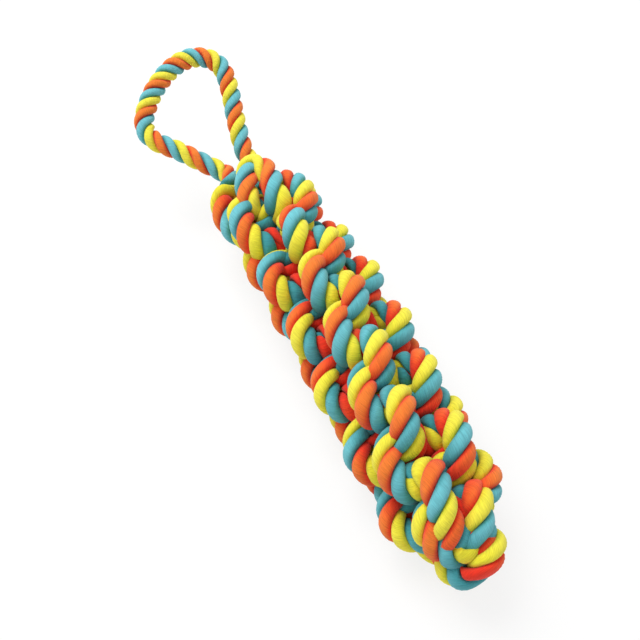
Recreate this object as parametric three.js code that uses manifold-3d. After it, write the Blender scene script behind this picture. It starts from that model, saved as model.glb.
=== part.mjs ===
// A rope dog toy. Two ropes are worked into a thick square crown sinnet, and the middle of one of
// them is left out at the top as a handle loop. Millimetres, +Z up. The body lies along X on its
// lowest bights, with the handle loop towards -X. The rope's own lay is left out.
import * as THREE from 'three';
import { mergeVertices } from 'three/addons/utils/BufferGeometryUtils.js';
import Module from 'manifold-3d';

// Rope sizes
const ropeDiameter = 12; // free rope, in the handle loop
const crossingWidth = 13; // flattened rope, where ends cross inside the body
const bightWidth = 17.4; // rope at the outermost point of a bight
const bightThickness = 12;
const ropeGap = 1.6; // between the centre parts of neighbouring ropes in the body
const spliceGap = 0.3; // between two stretches of one rope

// Body sizes
const layerHeight = 18.2; // one crown layer, at the middle of the body
const layerCount = 13;
const layerGrowth = 0.016; // share by which each layer is taller than the one above it
const widthGrowth = 0.002; // share by which each layer is wider than the one above it
const layerTurn = 5.2; // degrees that the body twists in a layer
const topTurn = 23.6; // degrees that the first layer is turned about the body's axis
const topBow = 6; // sideways bow of the body, six layers above its middle
const endBow = 2; // and six layers below it
const topHeight = 0.95; // half height of the bights under the handle, in layers
const endTaper = 0.55; // width of the free end, as a share of the body
const taperLayers = 2.4; // layers over which the free end narrows
const endDraw = 0.3; // how tightly the layers of the free end are drawn in
const closingHeight = 0.62; // half height of the bight that closes the free end, in layers
const flatDepth = bightWidth / 10; // pressed flat where the body rests
const midFirstLayer = 6; // the layers where the body bends by hand
const midLastLayer = 8;

// Handle sizes
const loopTilt = 27; // degrees that the handle loop rises from the body's axis
const loopRise = 11; // from the first crossing up to the handle's root
const legInset = 5; // inwards from its top bight to each leg at the root
const legLength = 13; // from the root to where the handle's bow starts
// The loop's centreline, sideways and outwards from its root, from the right leg round to the left
const loopPoints = [
  [7.4, 9.5], [6, 16], [6.4, 24], [9.3, 41], [12.6, 56.5], [13.9, 71], [11.8, 77], [7.2, 81.4], [0, 84.1],
  [-8.9, 83.8], [-17.4, 80.8], [-25.3, 76], [-31.9, 70.8], [-37.6, 64.6], [-42, 58.7], [-44.6, 52.2],
  [-43.7, 46.2], [-39.6, 40.6], [-33.2, 35], [-20.5, 21.4], [-10.5, 10.5],
];

// Steps of the faceted tubes
const passSteps = 4;
const bightSteps = 6;
const legStep = 4;
const bowStep = 8;
const bowSides = 10;
const carryStep = 1;

// Places that follow from the sizes
const laneOffset = (bightWidth + ropeGap) / 2; // from the axis to the plane that each end works in
const crossingThickness = layerHeight / 2 - ropeGap;
const bendStart = laneOffset + crossingThickness / 4; // where a pass turns into a bight
const bightReach = laneOffset + crossingWidth / 2 + ropeGap + bightThickness / 2 + layerHeight / 15;
const middleLayer = (layerCount - 2) / 2;
const rootLength = loopRise + ropeDiameter * 0.6; // rope between a top bight and the loop's root
const topLevel = 0.25 - 2 * topHeight; // where the cross rope passes over the top, in layers
const lastLayer = layerCount - 1;
const taperEnd = layerCount - 0.2; // where the free end has its least width, in layers

const wasm = await Module();
wasm.setup();

// The body's section: a flattened hexagon, as shares of the half width and half thickness
const bodySection = [[1, 0], [0.55, 1], [-0.55, 1], [-1, 0], [-0.55, -1], [0.55, -1]];

const smooth = (t) => {
  const c = Math.min(1, Math.max(0, t));
  return c * c * (3 - 2 * c);
};

// Width of the body at a layer, as a share of its width at the middle
const widthAt = (layer) => {
  const narrowed = smooth((layer - taperEnd + taperLayers) / taperLayers) * (1 - endTaper);
  return (1 + widthGrowth * (layer - middleLayer)) * (1 - narrowed);
};

// Place of a layer once the free end is drawn in tight
const drawn = (layer) => {
  const past = Math.max(0, layer - lastLayer + 1);
  return layer - past + past / (1 + endDraw * past);
};

// Carries a point of the straight, even sinnet (across, across, depth) into the twisted, bowed body
const place = (p) => {
  const layer = p.z / layerHeight;
  const steps = drawn(layer) - middleLayer;
  const bow = (steps < 0 ? topBow : endBow) * (steps / 6) ** 2;
  const turn = THREE.MathUtils.degToRad(topTurn + layerTurn * layer);
  const width = widthAt(layer);
  return new THREE.Vector3(
    layerHeight * steps * (1 + (layerGrowth / 2) * steps),
    width * (p.x * Math.cos(turn) - p.y * Math.sin(turn)) - bow,
    width * (p.x * Math.sin(turn) + p.y * Math.cos(turn)),
  );
};

// One ring of a rope: centre, tangent, width axis and half sizes
const station = (centre, tangent, widthAxis, halfWidth, halfThickness) => {
  const along = tangent.clone().normalize();
  const across = widthAxis.clone().addScaledVector(along, -widthAxis.dot(along)).normalize();
  const through = new THREE.Vector3().crossVectors(along, across);
  return { centre, along, across, through, halfWidth, halfThickness };
};

const ringPoints = (s, section, shift = 0) => section.map(([w, t]) => s.centre.clone()
  .addScaledVector(s.along, shift)
  .addScaledVector(s.across, w * s.halfWidth)
  .addScaledVector(s.through, t * s.halfThickness));

const mix = (a, b, t) => a + (b - a) * t;

// The four working ends. Each runs along one side of a square and reverses in every layer.
const ends = [
  { name: 'loop_rope_left', alongX: true, side: 1, heading: 1 },
  { name: 'cross_rope_upper', alongX: false, side: 1, heading: -1 },
  { name: 'loop_rope_right', alongX: true, side: -1, heading: -1 },
  { name: 'cross_rope_lower', alongX: false, side: -1, heading: 1 },
];
const [leftEnd, closingEnd, rightEnd] = ends;

// A ring in an end's own plane: u runs along the pass, z is the depth
const laneStation = (end, u, z, du, dz, bulge) => {
  const lane = end.side * laneOffset;
  const point = (a, b) => (end.alongX ? new THREE.Vector3(a, lane, b) : new THREE.Vector3(lane, a, b));
  const direction = end.alongX ? new THREE.Vector3(du, 0, dz) : new THREE.Vector3(0, du, dz);
  const widthAxis = end.alongX ? new THREE.Vector3(0, 1, 0) : new THREE.Vector3(1, 0, 0);
  const halfWidth = mix(crossingWidth, bightWidth, bulge) / 2;
  const halfThickness = mix(crossingThickness, bightThickness, bulge) / 2;
  return station(point(u, z), direction, widthAxis, halfWidth, halfThickness);
};

const headingAt = (end, layer) => end.heading * (Math.abs(layer) % 2 === 0 ? 1 : -1);

// A pass goes over the neighbour that it meets first and under the next one, and changes level
// between the two, in the middle half of its run
const pass = (end, layer, from = -1, to = 1) => {
  const heading = headingAt(end, layer);
  const count = Math.round((passSteps * (to - from)) / 2);
  return Array.from({ length: count + 1 }, (_, i) => {
    const v = mix(from, to, i / count);
    const drop = THREE.MathUtils.clamp(2 * v, -1, 1) * (Math.PI / 2);
    const slope = -(Math.PI / 4) * Math.cos(drop) * layerHeight;
    const z = (layer - Math.sin(drop) / 4) * layerHeight;
    return laneStation(end, heading * v * laneOffset, z, heading * laneOffset, slope, 0);
  });
};

// A bight leaves a pass and turns back into the next layer, round the two passes of the neighbour
const bight = (end, layer, fromDegrees = -90, toDegrees = 90, height = 0.75, level = layer - 0.25) => {
  const heading = headingAt(end, layer);
  const count = Math.max(2, Math.round((bightSteps * (toDegrees - fromDegrees)) / 180));
  const reach = bightReach - bendStart;
  return Array.from({ length: count + 1 }, (_, i) => {
    const angle = THREE.MathUtils.degToRad(mix(fromDegrees, toDegrees, i / count));
    const u = heading * (bendStart + reach * Math.cos(angle));
    const z = (level + height * (1 + Math.sin(angle))) * layerHeight;
    const du = -heading * reach * Math.sin(angle);
    const dz = height * layerHeight * Math.cos(angle);
    return laneStation(end, u, z, du, dz, Math.cos(angle) ** 2);
  });
};

// The taller bights under the handle
const topBight = (end) => bight(end, -1, -90, 90, topHeight, topLevel);

// Half of the crossing that joins both ends of the cross rope, over the body's top or its free end
const crossing = (end, layer, sideSign) => {
  const z = layer * layerHeight;
  const outer = new THREE.Vector3(end.side * laneOffset, sideSign * bendStart, z);
  const direction = outer.clone().setZ(0).normalize();
  const widthAxis = new THREE.Vector3(direction.y, -direction.x, 0).multiplyScalar(Math.sign(direction.y));
  return [0, 0.5].map((t) => {
    const centre = outer.clone().multiplyScalar(t).setZ(z);
    return station(centre, direction, widthAxis, crossingWidth / 2, crossingThickness / 2);
  });
};

const reversed = (stations) => stations.slice().reverse().map((s) => (
  station(s.centre, s.along.clone().negate(), s.across, s.halfWidth, s.halfThickness)));

const mapped = (stations, section, startShift = 0, endShift = 0) => stations.map((s, i) => {
  const shift = (i === 0 ? startShift : 0) - (i === stations.length - 1 ? endShift : 0);
  return ringPoints(s, section, shift).map(place);
});

// A closed tube through rings of equal counts, with its faces pointing out
const tube = (rings) => {
  const sides = rings[0].length;
  const points = rings.flat();
  const index = [];
  for (let r = 0; r < rings.length - 1; r += 1) {
    for (let i = 0; i < sides; i += 1) {
      const a = r * sides + i;
      const b = r * sides + ((i + 1) % sides);
      index.push(a, b, a + sides, b, b + sides, a + sides);
    }
  }
  const last = (rings.length - 1) * sides;
  for (let i = 1; i < sides - 1; i += 1) {
    index.push(0, i + 1, i, last, last + i, last + i + 1);
  }
  const volume = new THREE.Vector3();
  let signedVolume = 0;
  for (let i = 0; i < index.length; i += 3) {
    volume.crossVectors(points[index[i + 1]], points[index[i + 2]]);
    signedVolume += points[index[i]].dot(volume);
  }
  const geometry = new THREE.BufferGeometry().setFromPoints(points);
  geometry.setIndex(signedVolume > 0 ? index : index.slice().reverse());
  return geometry;
};

const toSolid = (geometry) => {
  const bare = geometry.clone();
  bare.deleteAttribute('normal');
  bare.deleteAttribute('uv');
  const merged = mergeVertices(bare, 1e-4);
  return new wasm.Manifold(new wasm.Mesh({
    numProp: 3,
    vertProperties: new Float32Array(merged.attributes.position.array),
    triVerts: new Uint32Array(merged.index.array),
  }));
};

const toGeometry = (solid) => {
  const mesh = solid.getMesh();
  const geometry = new THREE.BufferGeometry();
  geometry.setAttribute('position', new THREE.BufferAttribute(new Float32Array(mesh.vertProperties), 3));
  geometry.setIndex(new THREE.BufferAttribute(new Uint32Array(mesh.triVerts), 1));
  geometry.computeVertexNormals();
  return geometry;
};

// The handle: its root, its directions and its centreline out of one top bight and into the other
const crossingTop = place(new THREE.Vector3(0, 0, topLevel * layerHeight));
const loopRoot = crossingTop.clone().add(new THREE.Vector3(-loopRise, 0, 0));
const tilt = THREE.MathUtils.degToRad(loopTilt);
const loopOut = new THREE.Vector3(-Math.cos(tilt), 0, Math.sin(tilt));
const loopSide = new THREE.Vector3(0, 1, 0);
const loopPoint = ([side, out]) => loopRoot.clone()
  .addScaledVector(loopSide, side).addScaledVector(loopOut, out);

// Where a leg leaves its top bight, and the points that lead it up to the loop's root
const legStart = (end) => topBight(end)[0];
const legPoints = (end) => {
  const start = legStart(end);
  const inward = start.along.clone().negate();
  const up = (inset, rise) => place(start.centre.clone().addScaledVector(inward, inset)
    .setZ(start.centre.z)).add(new THREE.Vector3(-rise, 0, 0));
  return [place(start.centre), up(legInset / 2, loopRise * 0.4), up(legInset, loopRise)];
};
const loopCurve = new THREE.CatmullRomCurve3([
  ...legPoints(rightEnd),
  ...loopPoints.map(loopPoint),
  ...legPoints(leftEnd).reverse(),
], false, 'centripetal');
const loopLength = loopCurve.getLength();

// The rope's width axis at a length from an end's top bight, carried along without twist
const widthAxisAt = (end, length) => {
  const first = legStart(end);
  const axis = place(first.centre.clone().add(first.across)).sub(place(first.centre));
  const count = Math.ceil(length / carryStep);
  for (let i = 0; i <= count; i += 1) {
    const along = loopAt(end, (length * i) / Math.max(1, count)).along;
    axis.addScaledVector(along, -axis.dot(along)).normalize();
  }
  return axis;
};

// A place on the loop's centreline by its length from an end's top bight, facing that bight
const loopAt = (end, length) => {
  const right = end === rightEnd;
  const t = right ? length / loopLength : 1 - length / loopLength;
  return { centre: loopCurve.getPointAt(t), along: loopCurve.getTangentAt(t).multiplyScalar(right ? -1 : 1) };
};

// Rings along a stretch of the loop, flattened near the body and round beyond it
const roundSection = Array.from({ length: bowSides }, (_, i) => {
  const angle = (2 * Math.PI * i) / bowSides;
  return [Math.cos(angle), Math.sin(angle)];
});
const loopRings = (end, from, to, step, section) => {
  const count = Math.max(2, Math.round((to - from) / step));
  return Array.from({ length: count + 1 }, (_, i) => {
    const length = mix(from, to, i / count);
    const { centre, along } = loopAt(end, length);
    const roundness = smooth(Math.min(length, loopLength - length) / rootLength);
    const halfWidth = mix(crossingWidth, ropeDiameter, roundness) / 2;
    const halfThickness = mix(crossingThickness, ropeDiameter, roundness) / 2;
    return ringPoints(station(centre, along, widthAxisAt(end, length), halfWidth, halfThickness), section);
  });
};

// The stretches of each end: above, at and below the layers where the body bends
const cut = spliceGap / 2;
const layersOf = (end, first, last) => {
  const stations = [];
  for (let layer = first; layer <= last; layer += 1) {
    stations.push(...pass(end, layer), ...bight(end, layer));
  }
  return stations;
};

const upperBody = (end) => [
  ...topBight(end),
  ...layersOf(end, 0, midFirstLayer - 1),
  ...pass(end, midFirstLayer, -1, 0),
];

const upperRings = (end) => {
  if (!end.alongX) {
    const side = -headingAt(end, 0);
    const stations = [...crossing(end, topLevel, side), ...upperBody(end)];
    return mapped(stations, bodySection, cut, cut);
  }
  const leg = loopRings(end, legStep, rootLength - cut, legStep, bodySection).reverse();
  return [...leg, ...mapped(upperBody(end), bodySection, 0, cut)];
};

const midRings = (end) => mapped([
  ...pass(end, midFirstLayer, 0, 1),
  ...bight(end, midFirstLayer),
  ...layersOf(end, midFirstLayer + 1, midLastLayer - 1),
  ...pass(end, midLastLayer, -1, 0),
], bodySection, cut, cut);

// At the free end the loop rope's tails end inside, and the cross rope closes over them
const closingTail = (end) => {
  const far = ends.find((other) => !other.alongX && other !== end);
  const side = headingAt(end, lastLayer);
  const closed = lastLayer - 0.25 + 2 * closingHeight;
  return [
    ...pass(end, lastLayer),
    ...bight(end, lastLayer, -90, 90, closingHeight),
    ...reversed(crossing(end, closed, side)),
    ...crossing(far, closed, -side).slice(1),
    ...reversed(bight(far, lastLayer, 0, 90, closingHeight)),
  ];
};
const tailOf = (end) => {
  if (end.alongX) return pass(end, lastLayer, -1, 0);
  if (end === closingEnd) return closingTail(end);
  return [...pass(end, lastLayer), ...bight(end, lastLayer, -90, 0, closingHeight)];
};
const lowerRings = (end) => mapped([
  ...pass(end, midLastLayer, 0, 1),
  ...bight(end, midLastLayer),
  ...layersOf(end, midLastLayer + 1, lastLayer - 1),
  ...tailOf(end),
], bodySection, cut, cut);

// Every stretch by name
const stretches = ends.flatMap((end) => [
  [`upper_${end.name}`, tube(upperRings(end))],
  [`middle_${end.name}`, tube(midRings(end))],
  [`lower_${end.name}`, tube(lowerRings(end))],
]);
const bowStart = rootLength + legLength;
stretches.push(
  ['handle_right_leg', tube(loopRings(rightEnd, rootLength + cut, bowStart - cut, legStep, roundSection))],
  ['handle_bow', tube(loopRings(rightEnd, bowStart + cut, loopLength - bowStart - cut, bowStep, roundSection))],
  ['handle_left_leg', tube(loopRings(leftEnd, rootLength + cut, bowStart - cut, legStep, roundSection))],
);

// The part stands on its lowest bights, pressed flat, with its origin under the middle of its box
const whole = new THREE.Box3();
stretches.forEach(([, geometry]) => {
  geometry.computeBoundingBox();
  whole.union(geometry.boundingBox);
});
const centre = whole.getCenter(new THREE.Vector3());
const toOrigin = new THREE.Vector3(-centre.x, -centre.y, -whole.min.z - flatDepth);
const reach = whole.getSize(new THREE.Vector3()).length();
const below = new THREE.BoxGeometry(reach * 2, reach * 2, reach).translate(0, 0, -reach / 2);

const pressedFlat = (geometry) => {
  geometry.translate(toOrigin.x, toOrigin.y, toOrigin.z);
  geometry.computeBoundingBox();
  if (geometry.boundingBox.min.z >= 0) return geometry;
  return toGeometry(toSolid(geometry).subtract(toSolid(below)));
};

// Cotton colours, one main colour for each rope and one for the handle
const cotton = (color) => new THREE.MeshStandardMaterial({ color, roughness: 0.95, metalness: 0 });
const loopCotton = cotton('#ef5a24');
const crossCotton = cotton('#58b3bd');
const handleCotton = cotton('#f0e22c');
const materialOf = (name) => {
  if (name.startsWith('handle')) return handleCotton;
  return name.includes('loop_rope') ? loopCotton : crossCotton;
};

const toy = new THREE.Group();
stretches.forEach(([name, geometry]) => {
  const mesh = new THREE.Mesh(pressedFlat(geometry), materialOf(name));
  mesh.name = name;
  toy.add(mesh);
});

export default toy;
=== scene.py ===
# A rope dog toy: two three-strand cotton ropes worked into a square crown sinnet, with a handle loop.
# Metres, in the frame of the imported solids. Every strand is a mesh of its own along the solids' routes.
import math

import bpy
import numpy as np
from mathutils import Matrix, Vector


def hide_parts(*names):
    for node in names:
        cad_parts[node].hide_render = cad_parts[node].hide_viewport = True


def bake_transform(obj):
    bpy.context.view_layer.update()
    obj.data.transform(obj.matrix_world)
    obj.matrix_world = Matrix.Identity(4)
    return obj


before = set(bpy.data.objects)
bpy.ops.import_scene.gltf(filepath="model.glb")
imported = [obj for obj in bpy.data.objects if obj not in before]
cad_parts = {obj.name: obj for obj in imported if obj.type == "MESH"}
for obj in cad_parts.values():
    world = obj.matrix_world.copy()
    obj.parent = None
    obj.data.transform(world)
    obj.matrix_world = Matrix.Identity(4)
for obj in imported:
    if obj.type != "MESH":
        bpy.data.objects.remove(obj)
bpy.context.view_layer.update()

# The sinnet, with the sizes of the solids. Levels are in layers from the handle, and angles in degrees.
MILLIMETRE = 0.001
ROPE_DIAMETER = 0.012
CROSSING_WIDTH = 0.013
BIGHT_WIDTH = 0.0174
BIGHT_THICKNESS = 0.012
ROPE_GAP = 0.0016
LAYER_HEIGHT = 0.0182
LAYER_COUNT = 13
LAYER_GROWTH = 0.016
WIDTH_GROWTH = 0.002
LAYER_TURN = 5.2
TOP_TURN = 23.6
TOP_BOW = 0.006
END_BOW = 0.002
BOW_LAYERS = 6
DRAWN_LAYER = 11
PASS_DROP = 0.25
BIGHT_HEIGHT = 0.75
TOP_BIGHT = -1
TOP_HEIGHT = 0.95
CLOSING_HEIGHT = 0.62
BODY_MIDDLE = np.array([0.041759, 0.0123947, 0.0323902])

# The free end, whose rope keeps its size where the solids narrow theirs
END_TAPER = 0.38
TAPER_LAYERS = 2.7
TAPER_END = 12.7
END_DRAW = 0.22
TAIL_STOP = -0.5
CROSSING_SHARE = 0.7

# The handle, with the sizes of the solids
LOOP_TILT = 27
LOOP_RISE = 0.011
LEG_INSET = 0.005
LEG_RISES = np.array([0, 0.4, 1])
LOOP_POINTS = MILLIMETRE * np.array([
    [7.4, 9.5], [6, 16], [6.4, 24], [9.3, 41], [12.6, 56.5], [13.9, 71], [11.8, 77], [7.2, 81.4], [0, 84.1],
    [-8.9, 83.8], [-17.4, 80.8], [-25.3, 76], [-31.9, 70.8], [-37.6, 64.6], [-42, 58.7], [-44.6, 52.2],
    [-43.7, 46.2], [-39.6, 40.6], [-33.2, 35], [-20.5, 21.4], [-10.5, 10.5],
])

# The cross rope's arch in front of the handle's root: millimetres across, and the level in layers
ARCH_DIAMETER = 0.0138
ARCH_POINTS = np.array([
    [9.5, 13, 0.25], [10.5, 19.5, 0.1], [12.3, 21.8, -0.35], [13.8, 21.4, -0.95], [12.9, 21, -1.5],
    [9.2, 21.4, -1.82], [5, 22.4, -1.7], [1.2, 23, -1.3], [-2.4, 22.8, -0.85], [-4.4, 20.4, -0.5],
    [-4.6, 15.5, -0.45], [-3, 9, -0.6], [0, 3, -0.95], [-4, -4, -1.4], [-8.5, -9.5, -1.62],
])

# The rope's lay, with a strand's section as shares of the rope's half width and half thickness
LAY_LENGTH = 0.02678
LOOP_LAY = 0.0185
STRAND_RADIUS = 0.464
STRAND_OFFSET = 0.536
STRAND_SPREAD = 0.6
YARN_TWIST = 2.3

# The fuller form of soft rope
CROSSING_FULLNESS = 1.51
BIGHT_FULLNESS = 0.88
BIGHT_ROUNDNESS = 1.3
BIGHT_TUCK = 0.0011
SOFTENING = 0.0022
REST_SOFTNESS = 0.0008

# Bights lean aside and round the body, and hand-worked ones differ a little
BIGHT_LEAN = 0.0025
BIGHT_TILT = 0.0015
SEED = 11
REACH_JITTER = 0.0009
LEAN_JITTER = 0.0013
LEVEL_JITTER = 0.08

# How finely routes and strands are divided
STEP = 0.0012
SOFTENING_REACH = 3
PASS_STEPS = 24
BIGHT_STEPS = 36
CROSSING_STEPS = 12
SPAN_STEPS = 24
STRAND_SIDES = 16
PROBE = 1e-5

# The layer at which the ropes are cut into upper and lower pieces, where the body bends
CUT_LAYER = 7

# How open the free ropes are to light, for the painted light and shade on their strands, and the cosines
# over which a strand's painted shade sets in
HANDLE_OPENNESS = 2
ARCH_OPENNESS = 1
FACING_START = -0.5
FACING_SPAN = 1.2
GROOVE_START = -0.45
GROOVE_SPAN = 1.3

# Spun cotton: the lit colour of each where a strand faces out, and its deeper painted shade colour for
# grooves and the inside of the body, and the finish of all
COTTON_COLOURS = {
    "orange": ((0.81, 0.200, 0.030), (0.80, 0.036, 0.016)),
    "yellow": ((0.83, 0.750, 0.062), (0.76, 0.690, 0.034)),
    "teal": ((0.150, 0.495, 0.555), (0.045, 0.285, 0.320)),
}
COTTON_FINISH = {
    "Roughness": 0.92,
    "Specular IOR Level": 0.2,
    "Sheen Weight": 0.12,
    "Sheen Roughness": 0.5,
}

# Yarns, loose fibres and patches: their counts round a strand, their lengths, and how much they show
YARN_COUNT = 28
YARN_WANDER = 4.0
YARN_DEPTH = 0.0002
# How much painted shade darkens the grooves between yarns
YARN_GROOVE_PAINTED_SHADE = 0.06
FIBRE_COUNT = 40
FIBRE_LENGTH = 0.004
FIBRE_RELIEF = 0.9
FIBRE_SHADE = 0.7
PATCH_COUNT = 5
PATCH_LENGTH = 0.012
PATCH_SHADE = 0.14
BASE_SHADE = 0.57
NOISE_DETAIL = 2.0
RELIEF_STRENGTH = 0.7

# The studio
FLOOR_HALF = 3.0
FLOOR_COLOUR = (0.9, 0.9, 0.9, 1)
FLOOR_ROUGHNESS = 1.0
FLOOR_WHITENESS = 0.78
WORLD_COLOUR = (1, 1, 1, 1)
WORLD_LIGHT = 0.7
LAMP_OFFSET = Vector((-0.55, -0.15, 1.0))
LAMP_SIZE = 0.7
LAMP_POWER = 10

# The camera, which shows the body's middle at a pixel of a square picture
CAMERA_AZIMUTH = 63.7
CAMERA_ELEVATION = 60.0
CAMERA_DISTANCE = 0.432
CAMERA_LENS = 45.0
CAMERA_SENSOR = 36
CAMERA_CLIP = 0.01
BODY_PIXEL = (356.75, 347.5)
IMAGE_SIZE = 640

# Places that follow from the sizes
LANE = (BIGHT_WIDTH + ROPE_GAP) / 2
CROSSING_THICKNESS = LAYER_HEIGHT / 2 - ROPE_GAP
BEND_START = LANE + CROSSING_THICKNESS / 4
BIGHT_REACH = LANE + CROSSING_WIDTH / 2 + ROPE_GAP + BIGHT_THICKNESS / 2 + LAYER_HEIGHT / 15
MIDDLE_LAYER = (LAYER_COUNT - 2) / 2
ROOT_LENGTH = LOOP_RISE + ROPE_DIAMETER * 0.6
TOP_LEVEL = PASS_DROP - 2 * TOP_HEIGHT
LAST_LAYER = LAYER_COUNT - 1
CLOSED_LEVEL = LAST_LAYER - PASS_DROP + 2 * CLOSING_HEIGHT

# The four working ends: whether they run along the first axis, their side and their first heading
LOOP_LEFT = (True, 1, 1)
CROSS_UPPER = (False, 1, -1)
LOOP_RIGHT = (True, -1, -1)
CROSS_LOWER = (False, -1, 1)
ENDS = (LOOP_LEFT, CROSS_UPPER, LOOP_RIGHT, CROSS_LOWER)

# Uneven bights at both ends, by end and layer: first level, last level and how much further they reach
UNEVEN_BIGHTS = {
    (LOOP_LEFT, TOP_BIGHT): (-1.85, 0.45, -0.001),
    (LOOP_RIGHT, TOP_BIGHT): (-2.05, 0.3, 0.001),
    (CROSS_LOWER, TOP_BIGHT): (TOP_LEVEL, PASS_DROP, 0.0),
    (LOOP_LEFT, 0): (-1.3, 1.0, 0.002),
    (CROSS_LOWER, 0): (-0.8, 1.2, 0.001),
    (LOOP_LEFT, 10): (9.85, 11.9, 0.001),
}

# The lay isn't quite even: extra turns of an end's strands at some layers
EXTRA_TURNS = {
    LOOP_LEFT: ((-1, 0, 2, 4, 6, 10), (0, -0.25, -0.18, 0.05, -0.33, -0.2)),
    CROSS_UPPER: ((0, 1, 3, 5, 7, 9, 11, 12), (0.66, 0.33, 0.66, 0.58, -0.08, -0.08, -0.2, 0)),
    LOOP_RIGHT: ((3, 5), (0, 0.17)),
    CROSS_LOWER: ((-1, 0, 2, 4, 6, 8, 10, 12), (0.33, 0, 0, 0.28, 0.28, -0.38, -0.25, 0.25)),
}

# The solids that the pieces of each rope stand for, by the rope's name in the pieces
CAD_ENDS = {
    "loop_right": ["loop_rope_right"],
    "loop_left": ["loop_rope_left"],
    "cross": ["cross_rope_upper", "cross_rope_lower"],
}

# The columns of a route's rows
CENTRE = slice(0, 3)
AXIS = slice(3, 6)
HALF_WIDTH, HALF_THICKNESS, LAY, OPEN, TURN = range(6, 11)

# The colour sockets of a mix node
MIX_A, MIX_B, MIX_RESULT = 6, 7, 2

rng = np.random.default_rng(SEED)
jitter = {end: rng.uniform(-1, 1, (LAYER_COUNT + 1, 3)) for end in ENDS}


def smooth(t):
    share = np.clip(t, 0, 1)
    return share * share * (3 - 2 * share)


def mix(a, b, t):
    return a + (b - a) * t


def unit(vectors):
    return vectors / np.linalg.norm(vectors, axis=-1, keepdims=True)


# Width of the body at a layer, as a share of its width at the middle
def width_at(layer):
    narrowed = smooth((layer - TAPER_END + TAPER_LAYERS) / TAPER_LAYERS) * (1 - END_TAPER)
    return (1 + WIDTH_GROWTH * (layer - MIDDLE_LAYER)) * (1 - narrowed)


# The last layers are drawn in tight
def drawn(layer):
    past = np.maximum(layer - DRAWN_LAYER, 0)
    return np.minimum(layer, DRAWN_LAYER) + past / (1 + END_DRAW * past)


# Sideways bow of the body, by layers from its middle
def bow_at(steps):
    return np.where(steps < 0, TOP_BOW, END_BOW) * (steps / BOW_LAYERS) ** 2


# Carries points of the straight, even sinnet into the twisted, bowed body
def place(points):
    first, second, height = points.T
    layer = height / LAYER_HEIGHT
    steps = drawn(layer) - MIDDLE_LAYER
    turn = np.radians(TOP_TURN + LAYER_TURN * layer)
    width = width_at(layer)
    x = LAYER_HEIGHT * steps * (1 + LAYER_GROWTH / 2 * steps)
    y = width * (first * np.cos(turn) - second * np.sin(turn)) - bow_at(steps)
    z = width * (first * np.sin(turn) + second * np.cos(turn))
    return np.stack([x, y, z], axis=1) + BODY_MIDDLE


# A point on the body's axis
def body_point(layer):
    return place(np.array([[0, 0, layer * LAYER_HEIGHT]]))[0]


# Rows of a route, in the columns named above
def rows_of(centre, axis, bulge, turn):
    count = len(centre)
    width = mix(CROSSING_WIDTH * CROSSING_FULLNESS, BIGHT_WIDTH * BIGHT_FULLNESS, bulge)
    thickness = mix(CROSSING_THICKNESS * CROSSING_FULLNESS, BIGHT_THICKNESS * BIGHT_ROUNDNESS, bulge)
    axes = np.tile(axis, (count, 1))
    lay = np.full(count, LAY_LENGTH)
    turns = np.broadcast_to(turn, count)
    return np.column_stack([centre, axes, width / 2, thickness / 2, lay, bulge, turns])


# Rows of an end that runs in its lane, beside the body's axis
def lane_rows(end, along, height, bulge, aside, turn):
    along_first, side, _ = end
    across = side * LANE + aside
    centre = np.stack([along, across, height] if along_first else [across, along, height], axis=1)
    axis = (0, 1, 0) if along_first else (1, 0, 0)
    return rows_of(centre, axis, bulge, turn)


# An end crosses the body one way in even layers and the other way in odd ones
def heading_at(end, layer):
    return end[2] * (1 if layer % 2 == 0 else -1)


def extra_turn(end, layer):
    return float(np.interp(layer, *EXTRA_TURNS[end]))


# A pass goes over the neighbour that it meets first and under the next one
def pass_rows(end, layer, start=-1, stop=1):
    way = np.linspace(start, stop, PASS_STEPS)
    along = heading_at(end, layer) * way * LANE
    drop = np.clip(2 * way, -1, 1) * math.pi / 2
    level = layer - PASS_DROP * np.sin(drop)
    turn = mix(extra_turn(end, layer - 1), extra_turn(end, layer), (way + 1) / 2)
    flat = np.zeros(len(way))
    return lane_rows(end, along, level * LAYER_HEIGHT, flat, flat, turn)


# A bight leaves a pass and turns back into the next layer
def bight_rows(end, layer, height=BIGHT_HEIGHT):
    even = (layer - PASS_DROP, layer - PASS_DROP + 2 * height, 0.0)
    first, last, swell = UNEVEN_BIGHTS.get((end, layer), even)
    reach_jitter, lean_jitter, level_jitter = jitter[end][layer - TOP_BIGHT]
    angle = np.radians(np.linspace(-90, 90, BIGHT_STEPS))
    bulge = np.cos(angle) ** 2
    reach = BIGHT_REACH - BEND_START - BIGHT_TUCK + swell + reach_jitter * REACH_JITTER
    along = heading_at(end, layer) * (BEND_START + reach * np.cos(angle))
    level = mix(first, last, (1 + np.sin(angle)) / 2) + level_jitter * LEVEL_JITTER * bulge
    lean = end[1] * (BIGHT_LEAN + lean_jitter * LEAN_JITTER)
    tilt = BIGHT_TILT * heading_at(end, layer) * (1 if end[0] else -1)
    aside = lean * bulge + tilt * np.sin(2 * angle)
    return lane_rows(end, along, level * LAYER_HEIGHT, bulge, aside, extra_turn(end, layer))


# The bight that an end comes from, above its first pass
def top_bight(end):
    return bight_rows(end, TOP_BIGHT)


# Half of the crossing that closes the free end, from the axis outwards
def crossing_rows(end, level, side_sign, turn):
    outer = np.array([end[1] * LANE, side_sign * BEND_START, 0])
    direction = unit(outer)
    axis = np.array([direction[1], -direction[0], 0]) * np.sign(direction[1])
    share = np.linspace(0, CROSSING_SHARE, CROSSING_STEPS)
    centre = share[:, None] * outer + np.array([0, 0, level * LAYER_HEIGHT])
    return rows_of(centre, axis, np.zeros(len(share)), turn)


# Whole layers of an end, each a pass and a bight
def layer_rows(end, first, last):
    layers = range(first, last + 1)
    return [rows for layer in layers for rows in (pass_rows(end, layer), bight_rows(end, layer))]


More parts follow.
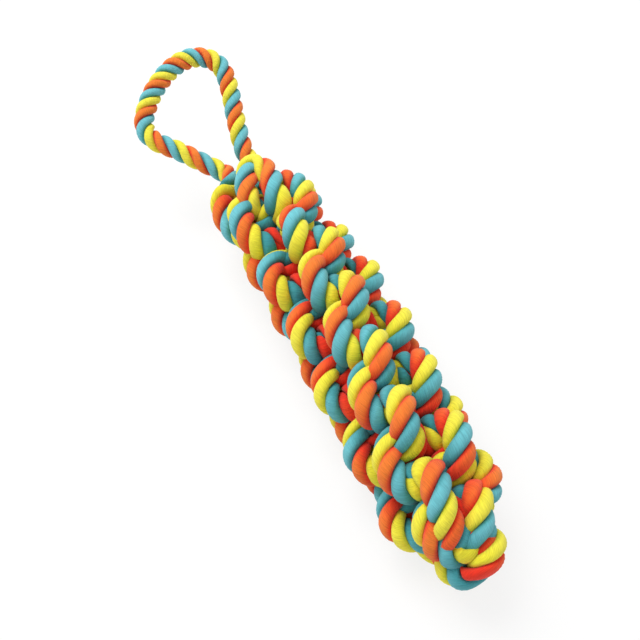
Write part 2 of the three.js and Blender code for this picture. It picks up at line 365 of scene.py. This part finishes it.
# The stretch of an end from its first pass down to the cut
def upper_rows(end):
    return [*layer_rows(end, 0, CUT_LAYER - 1), pass_rows(end, CUT_LAYER, -1, 0)]


# The stretch of an end from the cut down to its last whole layer
def lower_rows(end):
    first = [pass_rows(end, CUT_LAYER, 0, 1), bight_rows(end, CUT_LAYER)]
    return [*first, *layer_rows(end, CUT_LAYER + 1, LAST_LAYER - 1)]


# The same stretch of an end of the loop rope, with the tail that stops inside the free end
def tail_rows(end):
    return [*lower_rows(end), pass_rows(end, LAST_LAYER, -1, TAIL_STOP)]


# The same stretch of an end of the cross rope, with its half of the closing over the free end
def closing_rows(end):
    side_sign = heading_at(end, LAST_LAYER)
    turn = (extra_turn(CROSS_UPPER, LAST_LAYER) + extra_turn(CROSS_LOWER, LAST_LAYER)) / 2
    last = [pass_rows(end, LAST_LAYER), bight_rows(end, LAST_LAYER, CLOSING_HEIGHT)]
    return [*lower_rows(end), *last, crossing_rows(end, CLOSED_LEVEL, side_sign, turn)[::-1]]


def reversed_rows(chunks):
    return [rows[::-1] for rows in reversed(chunks)]


# Rows of the straight sinnet, carried into the body
def in_frame(chunks):
    rows = np.concatenate(chunks)
    centre = place(rows[:, CENTRE])
    axis = unit(place(rows[:, CENTRE] + PROBE * rows[:, AXIS]) - centre)
    return np.column_stack([centre, axis, rows[:, HALF_WIDTH:]])


# A centripetal Catmull-Rom curve, as dense points
def curve_through(points):
    ends = [2 * points[0] - points[1], *points, 2 * points[-1] - points[-2]]
    t = np.linspace(0, 1, SPAN_STEPS, endpoint=False)[:, None]
    spans = []
    for a, b, c, d in zip(ends, ends[1:], ends[2:], ends[3:]):
        ab, bc, cd = (math.sqrt(np.linalg.norm(q - p)) for p, q in ((a, b), (b, c), (c, d)))
        first = bc * ((b - a) / ab - (c - a) / (ab + bc) + (c - b) / bc)
        last = bc * ((c - b) / bc - (d - b) / (bc + cd) + (d - c) / cd)
        shape = b * (2 * t**3 - 3 * t**2 + 1) + first * (t**3 - 2 * t**2 + t)
        spans.append(shape + c * (3 * t**2 - 2 * t**3) + last * (t**3 - t**2))
    return np.concatenate([*spans, [points[-1]]])


def lengths_along(points):
    return np.concatenate([[0], np.cumsum(np.linalg.norm(np.diff(points, axis=0), axis=1))])


# Turns an axis along a line without twist
def carried(axis, tangents):
    axes = []
    for tangent in tangents:
        axis = unit(axis - tangent * axis.dot(tangent))
        axes.append(axis)
    return np.array(axes)


# Rows of a stretch outside the sinnet, round between the flattened rows that it joins
def free_rows(points, first, last, diameter, middle_lay, openness):
    line = curve_through(points)
    along = lengths_along(line)
    share = along / along[-1]
    tangents = unit(np.gradient(line, axis=0))
    axes = carried(first[AXIS], tangents)
    wanted = carried(last[AXIS], tangents[-1:])[0]
    miss = math.atan2(np.cross(axes[-1], wanted).dot(tangents[-1]), axes[-1].dot(wanted))
    twist = (miss * share)[:, None]
    axes = axes * np.cos(twist) + np.cross(tangents, axes) * np.sin(twist)
    roundness = smooth(np.minimum(along, along[-1] - along) / ROOT_LENGTH)
    half_width = mix(first[HALF_WIDTH], diameter / 2, roundness)
    half_thickness = mix(first[HALF_THICKNESS], diameter / 2, roundness)
    lay = mix(LAY_LENGTH, middle_lay, np.sin(math.pi * share) ** 2)
    turn = mix(first[TURN], last[TURN], share)
    return np.column_stack([line, axes, half_width, half_thickness, lay, roundness * openness, turn])


def loop_root():
    return body_point(TOP_LEVEL) - np.array([LOOP_RISE, 0, 0])


# Where a leg leaves its top bight, and the points that lead it up to the loop's root
def leg_points(end):
    start = top_bight(end)[0, CENTRE]
    inward = np.array([-heading_at(end, TOP_BIGHT), 0, 0])
    points = place(np.array([start, start + inward * LEG_INSET / 2, start + inward * LEG_INSET]))
    points[:, 0] = mix(points[:, 0], loop_root()[0], LEG_RISES)
    return points


# Rows of the handle, from the right top bight round to the left one
def handle_rows():
    tilt = math.radians(LOOP_TILT)
    out = np.array([-math.cos(tilt), 0, math.sin(tilt)])
    loop = loop_root() + LOOP_POINTS[:, :1] * np.array([0, 1, 0]) + LOOP_POINTS[:, 1:] * out
    points = np.concatenate([leg_points(LOOP_RIGHT), loop, leg_points(LOOP_LEFT)[::-1]])
    first, last = (in_frame([top_bight(end)])[0] for end in (LOOP_RIGHT, LOOP_LEFT))
    return free_rows(points, first, last, ROPE_DIAMETER, LOOP_LAY, HANDLE_OPENNESS)


# Rows of the arch, from the first pass of one end of the cross rope to the top bight of the other
def arch_rows():
    points = place(ARCH_POINTS * np.array([MILLIMETRE, MILLIMETRE, LAYER_HEIGHT]))
    first = in_frame([pass_rows(CROSS_UPPER, 0)])[0]
    last = in_frame([top_bight(CROSS_LOWER)])[0]
    return free_rows(points, first, last, ARCH_DIAMETER, LAY_LENGTH, ARCH_OPENNESS)


# Evens out a route's steps and softens its corners. The second result says which part a row is in.
def evened(parts, closed):
    numbered = [np.column_stack([part, np.full(len(part), k)]) for k, part in enumerate(parts)]
    rows = np.concatenate(numbered)
    if closed:
        rows = np.concatenate([rows, rows[:1]])
        rows[-1, -1] = len(parts) - 1
    along = lengths_along(rows[:, CENTRE])
    count = round(along[-1] / STEP)
    at = np.linspace(0, along[-1], count + 1)
    even = np.stack([np.interp(at, along, column) for column in rows.T], axis=1)
    reach = round(SOFTENING_REACH * SOFTENING / STEP)
    weights = np.exp(-0.5 * (np.arange(-reach, reach + 1) * STEP / SOFTENING) ** 2)
    weights /= weights.sum()
    body = even[:-1, :-1] if closed else even[:, :-1]
    padded = np.pad(body, ((reach, reach), (0, 0)), mode="wrap" if closed else "edge")
    soft = np.stack([np.convolve(column, weights, mode="valid") for column in padded.T], axis=1)
    if closed:
        soft = np.concatenate([soft, soft[:1]])
    return soft, np.round(even[:, -1]).astype(int)


# How lit a strand's points are, as painted light and shade: 1 on the handle and on the tops of bights that
# face out, and painted shade down to 0 on faces turned in, on passes inside the body and on strands' sides
# in the grooves
def painted_lit_share_at(soft, theta, spread):
    centre = soft[:, CENTRE]
    steps = (centre[:, 0] - BODY_MIDDLE[0]) / LAYER_HEIGHT
    heights = np.full(len(centre), BODY_MIDDLE[2])
    axis = np.stack([centre[:, 0], BODY_MIDDLE[1] - bow_at(steps), heights], axis=1)
    outward = unit(centre - axis)
    facing = (unit(spread) * outward[:, None]).sum(axis=2)
    openness = soft[:, OPEN][:, None]
    # Painted shade on passes inside the body and on faces turned away from the outside
    in_body = np.clip(openness, 0, 1) * smooth((facing - FACING_START) / FACING_SPAN)
    # Painted shade on a strand's sides, in the groove beside its neighbours
    groove = smooth((np.cos(theta) - GROOVE_START) / GROOVE_SPAN)
    return mix(in_body, 1, np.clip(openness - 1, 0, 1)) * groove


# A strand's rings: points by ring and side, their texture coordinates and their painted light and shade
def strand_rings(soft, closed, first_turn):
    centre = soft[:, CENTRE]
    tangents = unit(np.gradient(centre, axis=0))
    across = soft[:, AXIS]
    across = unit(across - tangents * (across * tangents).sum(axis=1, keepdims=True))
    through = np.cross(tangents, across)
    along = lengths_along(centre)
    turns = np.concatenate([[0], np.cumsum(np.diff(along) / soft[:-1, LAY])])
    if closed:
        turns *= round(turns[-1]) / turns[-1]
    turn = (first_turn + 2 * math.pi * (turns + soft[:, TURN]))[:, None]
    theta = np.linspace(-math.pi, math.pi, STRAND_SIDES + 1)[None, :]
    radial = STRAND_OFFSET + STRAND_RADIUS * np.cos(theta)
    tangential = STRAND_SPREAD * np.sin(theta)
    x = (radial * np.cos(turn) - tangential * np.sin(turn)) * soft[:, [HALF_WIDTH]]
    y = (radial * np.sin(turn) + tangential * np.cos(turn)) * soft[:, [HALF_THICKNESS]]
    spread = x[..., None] * across[:, None] + y[..., None] * through[:, None]
    points = centre[:, None] + spread
    height = points[..., 2]
    points[..., 2] = (height + np.sqrt(height**2 + REST_SOFTNESS**2)) / 2
    lengths = np.broadcast_to(along[:, None], x.shape)
    yarn = np.stack([lengths, (theta + YARN_TWIST * turn) / (2 * math.pi)], axis=2)
    return points, yarn, painted_lit_share_at(soft, theta, spread)


# A closed tube through rings, with texture coordinates on its corners and painted light and shade on its
# points
def strand_piece(name, points, yarn, painted_lit_share, material):
    rings, sides = points.shape[0], points.shape[1] - 1
    index = np.arange(rings * sides).reshape(rings, sides)
    right = np.roll(index, -1, axis=1)
    quads = np.stack([index[:-1], right[:-1], right[1:], index[1:]], axis=2).reshape(-1, 4)
    faces = [*quads.tolist(), index[0, ::-1].tolist(), index[-1].tolist()]
    mesh = bpy.data.meshes.new(name)
    mesh.from_pydata(points[:, :-1].reshape(-1, 3).tolist(), [], faces)
    corner = np.stack([yarn[:-1, :-1], yarn[:-1, 1:], yarn[1:, 1:], yarn[1:, :-1]], axis=2).reshape(-1, 2)
    caps = np.concatenate([yarn[0, :-1][::-1], yarn[-1, :-1]])
    layer = mesh.uv_layers.new(name="yarn")
    layer.data.foreach_set("uv", np.concatenate([corner, caps]).astype(np.float32).ravel())
    # The painted light and shade, as a factor on the points
    painted_lit_attribute = mesh.attributes.new("painted_lit_share", "FLOAT", "POINT")
    painted_lit_attribute.data.foreach_set("value", painted_lit_share[:, :-1].astype(np.float32).ravel())
    mesh.shade_smooth()
    for cap in mesh.polygons[-2:]:
        cap.use_smooth = False
    mesh.materials.append(material)
    piece = bpy.data.objects.new(name, mesh)
    bpy.context.scene.collection.objects.link(piece)
    return piece


# A math node whose inputs are numbers or other nodes' outputs
def math_node(tree, operation, *values):
    node = tree.nodes.new("ShaderNodeMath")
    node.operation = operation
    for socket, value in zip(node.inputs, values):
        if isinstance(value, bpy.types.NodeSocket):
            tree.links.new(value, socket)
        else:
            socket.default_value = value
    return node.outputs[0]


# The angle round a strand, and its places as a ring across and the length along it
def strand_places(tree):
    places = tree.nodes.new("ShaderNodeUVMap")
    places.uv_map = "yarn"
    split = tree.nodes.new("ShaderNodeSeparateXYZ")
    tree.links.new(places.outputs["UV"], split.inputs["Vector"])
    angle = math_node(tree, "MULTIPLY", split.outputs["Y"], 2 * math.pi)
    ring = tree.nodes.new("ShaderNodeCombineXYZ")
    tree.links.new(math_node(tree, "COSINE", angle), ring.inputs["X"])
    tree.links.new(math_node(tree, "SINE", angle), ring.inputs["Y"])
    tree.links.new(split.outputs["X"], ring.inputs["Z"])
    return angle, ring.outputs["Vector"]


# Noise on a strand, drawn out along its yarn: its count round the strand and its length along it
def yarn_noise(tree, ring, count, length):
    stretch = tree.nodes.new("ShaderNodeVectorMath")
    stretch.operation = "MULTIPLY"
    radius = count / (2 * math.pi)
    stretch.inputs[1].default_value = (radius, radius, 1 / length)
    tree.links.new(ring, stretch.inputs[0])
    noise = tree.nodes.new("ShaderNodeTexNoise")
    noise.inputs["Scale"].default_value = 1.0
    noise.inputs["Detail"].default_value = NOISE_DETAIL
    tree.links.new(stretch.outputs[0], noise.inputs["Vector"])
    return noise.outputs["Fac"]


# Fine yarns round each strand, loose fibres, and painted shade: a deeper colour in the grooves and inside
# the body than on the lit tops
def cotton(name, lit_colour, painted_shade_colour):
    material = bpy.data.materials.new(name)
    material.use_nodes = True
    tree = material.node_tree
    shader = tree.nodes["Principled BSDF"]

    # Yarns, fibres and patches
    angle, ring = strand_places(tree)
    fibres = yarn_noise(tree, ring, FIBRE_COUNT, FIBRE_LENGTH)
    patches = yarn_noise(tree, ring, PATCH_COUNT, PATCH_LENGTH)
    wander = math_node(tree, "MULTIPLY", patches, YARN_WANDER)
    phase = math_node(tree, "MULTIPLY_ADD", angle, YARN_COUNT / 2, wander)
    yarns = math_node(tree, "ABSOLUTE", math_node(tree, "SINE", phase))

    # Colour: painted shade colour to lit colour by the painted light and shade, then lighter and darker
    # fibres and patches, and painted shade between yarns
    painted_lit_attribute = tree.nodes.new("ShaderNodeAttribute")
    painted_lit_attribute.attribute_name = "painted_lit_share"
    blend = tree.nodes.new("ShaderNodeMix")
    blend.data_type = "RGBA"
    # The painted light and shade factor mixes the painted shade colour into the lit colour
    tree.links.new(painted_lit_attribute.outputs["Fac"], blend.inputs["Factor"])
    blend.inputs[MIX_A].default_value = (*painted_shade_colour, 1)
    blend.inputs[MIX_B].default_value = (*lit_colour, 1)
    shade = math_node(tree, "MULTIPLY_ADD", fibres, FIBRE_SHADE, BASE_SHADE)
    shade = math_node(tree, "MULTIPLY_ADD", patches, PATCH_SHADE, shade)
    # Painted shade: the colour is darker in the grooves between yarns, where the relief is low
    shade = math_node(tree, "MULTIPLY_ADD", yarns, YARN_GROOVE_PAINTED_SHADE, shade)
    tint = tree.nodes.new("ShaderNodeHueSaturation")
    tree.links.new(blend.outputs[MIX_RESULT], tint.inputs["Color"])
    tree.links.new(shade, tint.inputs["Value"])
    tree.links.new(tint.outputs["Color"], shader.inputs["Base Color"])

    # Relief and finish
    relief = math_node(tree, "MULTIPLY_ADD", fibres, FIBRE_RELIEF, yarns)
    bump = tree.nodes.new("ShaderNodeBump")
    bump.inputs["Strength"].default_value = RELIEF_STRENGTH
    bump.inputs["Distance"].default_value = YARN_DEPTH
    tree.links.new(relief, bump.inputs["Height"])
    tree.links.new(bump.outputs["Normal"], shader.inputs["Normal"])
    for socket, value in COTTON_FINISH.items():
        shader.inputs[socket].default_value = value
    return material


# Cuts a rope's strands into pieces by part
def rope_pieces(parts, names, closed, colours):
    soft, part = evened(parts, closed)
    made = {}
    for strand, colour in enumerate(colours):
        points, yarn, painted_lit_share = strand_rings(soft, closed, 2 * math.pi * strand / len(colours))
        for k, name in enumerate(names):
            inside = np.flatnonzero(part == k)
            run = slice(inside[0], inside[-1] + 2)
            piece = strand_piece(f"{name}_{colour}", points[run], yarn[run], painted_lit_share[run], cottons[colour])
            made[name, colour] = piece
    return made


# 1 for rays that the camera sees, straight or in a gloss or glass, and 0 for light
def seen_share(tree):
    rays = tree.nodes.new("ShaderNodeLightPath")
    seen = math_node(tree, "ADD", rays.outputs["Is Camera Ray"], rays.outputs["Is Glossy Ray"])
    return math_node(tree, "ADD", seen, rays.outputs["Is Transmission Ray"])


# Puts a lamp or a camera at an offset from the body's middle, facing it
def aim(name, data, offset):
    thing = bpy.data.objects.new(name, data)
    thing.location = Vector(BODY_MIDDLE.tolist()) + offset
    thing.rotation_mode = "QUATERNION"
    thing.rotation_quaternion = (-offset).to_track_quat("-Z", "Y")
    bpy.context.scene.collection.objects.link(thing)
    return thing


cottons = {colour: cotton(f"{colour}_cotton", *shades) for colour, shades in COTTON_COLOURS.items()}

# The loop rope, from its right tail up, round the handle and down to its left tail
loop_parts = [
    in_frame(reversed_rows(tail_rows(LOOP_RIGHT))),
    in_frame(reversed_rows([top_bight(LOOP_RIGHT), *upper_rows(LOOP_RIGHT)])),
    handle_rows(),
    in_frame([top_bight(LOOP_LEFT), *upper_rows(LOOP_LEFT)]),
    in_frame(tail_rows(LOOP_LEFT)),
]
loop_names = ["lower_loop_right", "upper_loop_right", "handle", "upper_loop_left", "lower_loop_left"]
pieces = rope_pieces(loop_parts, loop_names, False, ["orange", "yellow", "teal"])

# The cross rope, from the cut up over the top, down the other end and round the free end
cross_parts = [
    np.concatenate([
        in_frame(reversed_rows(upper_rows(CROSS_UPPER))),
        arch_rows(),
        in_frame([top_bight(CROSS_LOWER), *upper_rows(CROSS_LOWER)]),
    ]),
    in_frame([*closing_rows(CROSS_LOWER), *reversed_rows(closing_rows(CROSS_UPPER))]),
]
pieces |= rope_pieces(cross_parts, ["upper_cross", "lower_cross"], True, ["yellow", "orange", "teal"])

# Each piece keeps its place in the frame, and the solids that it stands for are hidden
for (name, _), piece in pieces.items():
    if name == "handle":
        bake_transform(piece)
        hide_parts("handle_right_leg", "handle_bow", "handle_left_leg")
        continue
    half, rope = name.split("_", 1)
    if half == "lower":
        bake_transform(piece)
    else:
        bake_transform(piece)
    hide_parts(*(f"{part}_{end}" for part in (half, "middle") for end in CAD_ENDS[rope]))

# The handle's centre line. The handle is a stiff rope that leaves the body and goes back into it
handle_line = handle_rows()[:, CENTRE]

# Floor
floor_mesh = bpy.data.meshes.new("floor")
corners = [(x * FLOOR_HALF, y * FLOOR_HALF, 0) for x, y in ((-1, -1), (1, -1), (1, 1), (-1, 1))]
floor_mesh.from_pydata(corners, [], [(0, 1, 2, 3)])
floor = bpy.data.objects.new("floor", floor_mesh)
bpy.context.scene.collection.objects.link(floor)
floor_material = bpy.data.materials.new("floor_white")
floor_material.use_nodes = True
floor_tree = floor_material.node_tree
floor_shader = floor_tree.nodes["Principled BSDF"]
floor_shader.inputs["Base Color"].default_value = FLOOR_COLOUR
floor_shader.inputs["Roughness"].default_value = FLOOR_ROUGHNESS
floor_mesh.materials.append(floor_material)

# The floor looks white to the camera and keeps part of its shadow
white = floor_tree.nodes.new("ShaderNodeEmission")
cover = floor_tree.nodes.new("ShaderNodeMixShader")
whiteness = math_node(floor_tree, "MULTIPLY", seen_share(floor_tree), FLOOR_WHITENESS)
floor_tree.links.new(whiteness, cover.inputs["Fac"])
floor_tree.links.new(floor_shader.outputs["BSDF"], cover.inputs[1])
floor_tree.links.new(white.outputs["Emission"], cover.inputs[2])
floor_tree.links.new(cover.outputs["Shader"], floor_tree.nodes["Material Output"].inputs["Surface"])

# The world is a soft light that looks white to the camera
world = bpy.data.worlds.new("studio")
bpy.context.scene.world = world
world.use_nodes = True
world_tree = world.node_tree
background = world_tree.nodes["Background"]
background.inputs["Color"].default_value = WORLD_COLOUR
behind = math_node(world_tree, "MULTIPLY_ADD", seen_share(world_tree), 1 - WORLD_LIGHT, WORLD_LIGHT)
world_tree.links.new(behind, background.inputs["Strength"])

# Lamp
lamp_data = bpy.data.lights.new("key", "AREA")
lamp_data.size = LAMP_SIZE
lamp_data.energy = LAMP_POWER
aim("key", lamp_data, LAMP_OFFSET)

# Camera
azimuth = math.radians(CAMERA_AZIMUTH)
elevation = math.radians(CAMERA_ELEVATION)
back = Vector((
    math.sin(azimuth) * math.cos(elevation),
    -math.cos(azimuth) * math.cos(elevation),
    math.sin(elevation),
))
camera_data = bpy.data.cameras.new("camera")
camera_data.lens = CAMERA_LENS
camera_data.sensor_width = CAMERA_SENSOR
camera_data.clip_start = CAMERA_CLIP
camera_data.shift_x = (IMAGE_SIZE / 2 - BODY_PIXEL[0]) / IMAGE_SIZE
camera_data.shift_y = (BODY_PIXEL[1] - IMAGE_SIZE / 2) / IMAGE_SIZE
bpy.context.scene.camera = aim("camera", camera_data, back * CAMERA_DISTANCE)

bpy.context.scene.view_settings.view_transform = "Standard"
